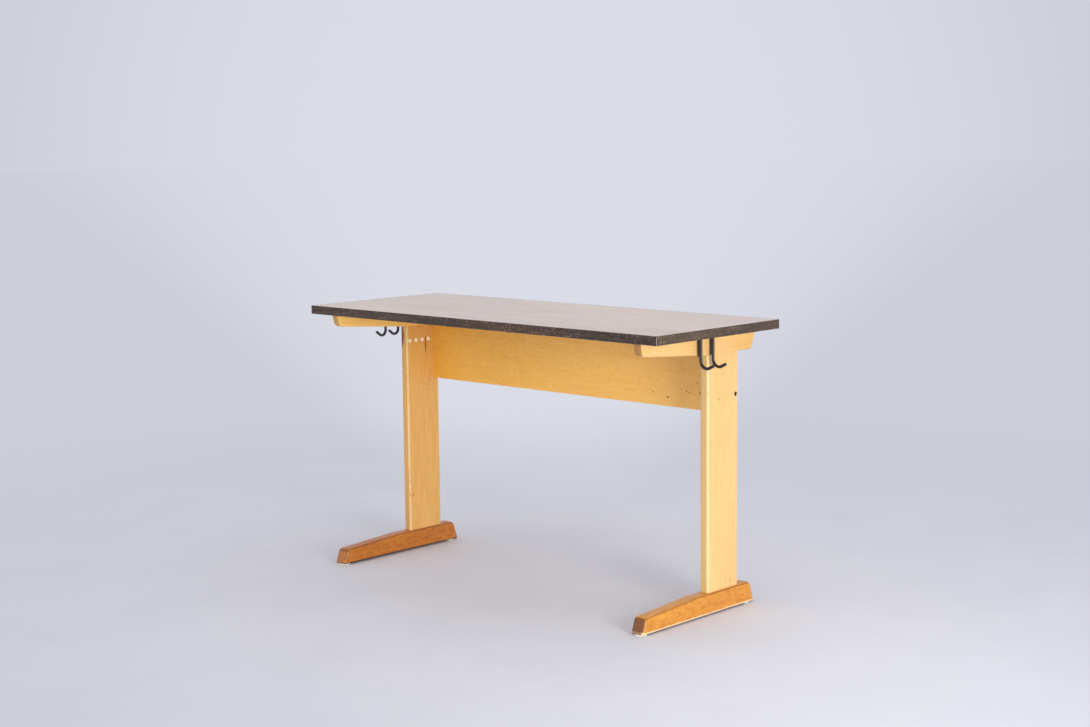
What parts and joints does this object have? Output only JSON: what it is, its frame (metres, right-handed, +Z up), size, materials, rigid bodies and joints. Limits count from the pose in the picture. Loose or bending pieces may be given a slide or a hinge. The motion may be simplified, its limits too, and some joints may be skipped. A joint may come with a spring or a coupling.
{
  "type": "school drawing desk",
  "caption": "Rectangular two-seat drawing desk: laminated top with dark edge on two wooden T-shaped end frames, joined by a back stretcher board, with bag hooks under both ends.",
  "frame": {"origin": "on the floor, under the centre of the top", "axes": "+X along the length of the top to the user's right, +Y to the back where the stretcher board is, +Z up"},
  "size_m": [1.3, 0.5, 0.76],
  "materials": {
    "laminate": "satin high-pressure laminate with a fine pinkish taupe wood grain",
    "backing": "plain brown balancing laminate",
    "chipboard": "raw chipboard",
    "edge_band": "dark brown-black edge band, worn",
    "frame_wood": "pale beech with satin lacquer",
    "board_wood": "honey-coloured beech veneer with satin lacquer",
    "foot_wood": "darker orange-brown beech with worn lacquer",
    "dowel_wood": "raw beech",
    "black_steel": "black, satin",
    "plated_steel": "zinc plated",
    "glide_plastic": "off-white moulded plastic, scuffed",
    "mark_plastic": "off-white plastic"
  },
  "bodies": {
    "root": {"edge_band_back": "edge_band", "edge_band_front": "edge_band", "edge_band_left": "edge_band", "edge_band_right": "edge_band", "left_bearer": "frame_wood", "left_bearer_dowels": "dowel_wood", "left_bolt_washer": "plated_steel", "left_cross_dowel": "plated_steel", "left_foot": "foot_wood", "left_foot_dowels": "dowel_wood", "left_front_glide": "glide_plastic", "left_front_hook": "black_steel", "left_glide_nails": "plated_steel", "left_post": "frame_wood", "left_rear_glide": "glide_plastic", "left_rear_hook": "black_steel", "left_stretcher_bolt": "black_steel", "left_stretcher_dowels": "dowel_wood", "left_top_screws": "plated_steel", "right_bearer": "frame_wood", "right_bearer_dowels": "dowel_wood", "right_bolt_washer": "plated_steel", "right_cross_dowel": "plated_steel", "right_foot": "foot_wood", "right_foot_dowels": "dowel_wood", "right_front_glide": "glide_plastic", "right_front_hook": "black_steel", "right_glide_nails": "plated_steel", "right_post": "frame_wood", "right_rear_glide": "glide_plastic", "right_rear_hook": "black_steel", "right_stretcher_bolt": "black_steel", "right_stretcher_dowels": "dowel_wood", "right_top_screws": "plated_steel", "size_mark_studs": "mark_plastic", "stretcher_board": "board_wood", "tabletop_backing": "backing", "tabletop_core": "chipboard", "tabletop_laminate": "laminate"}
  },
  "joints": []
}
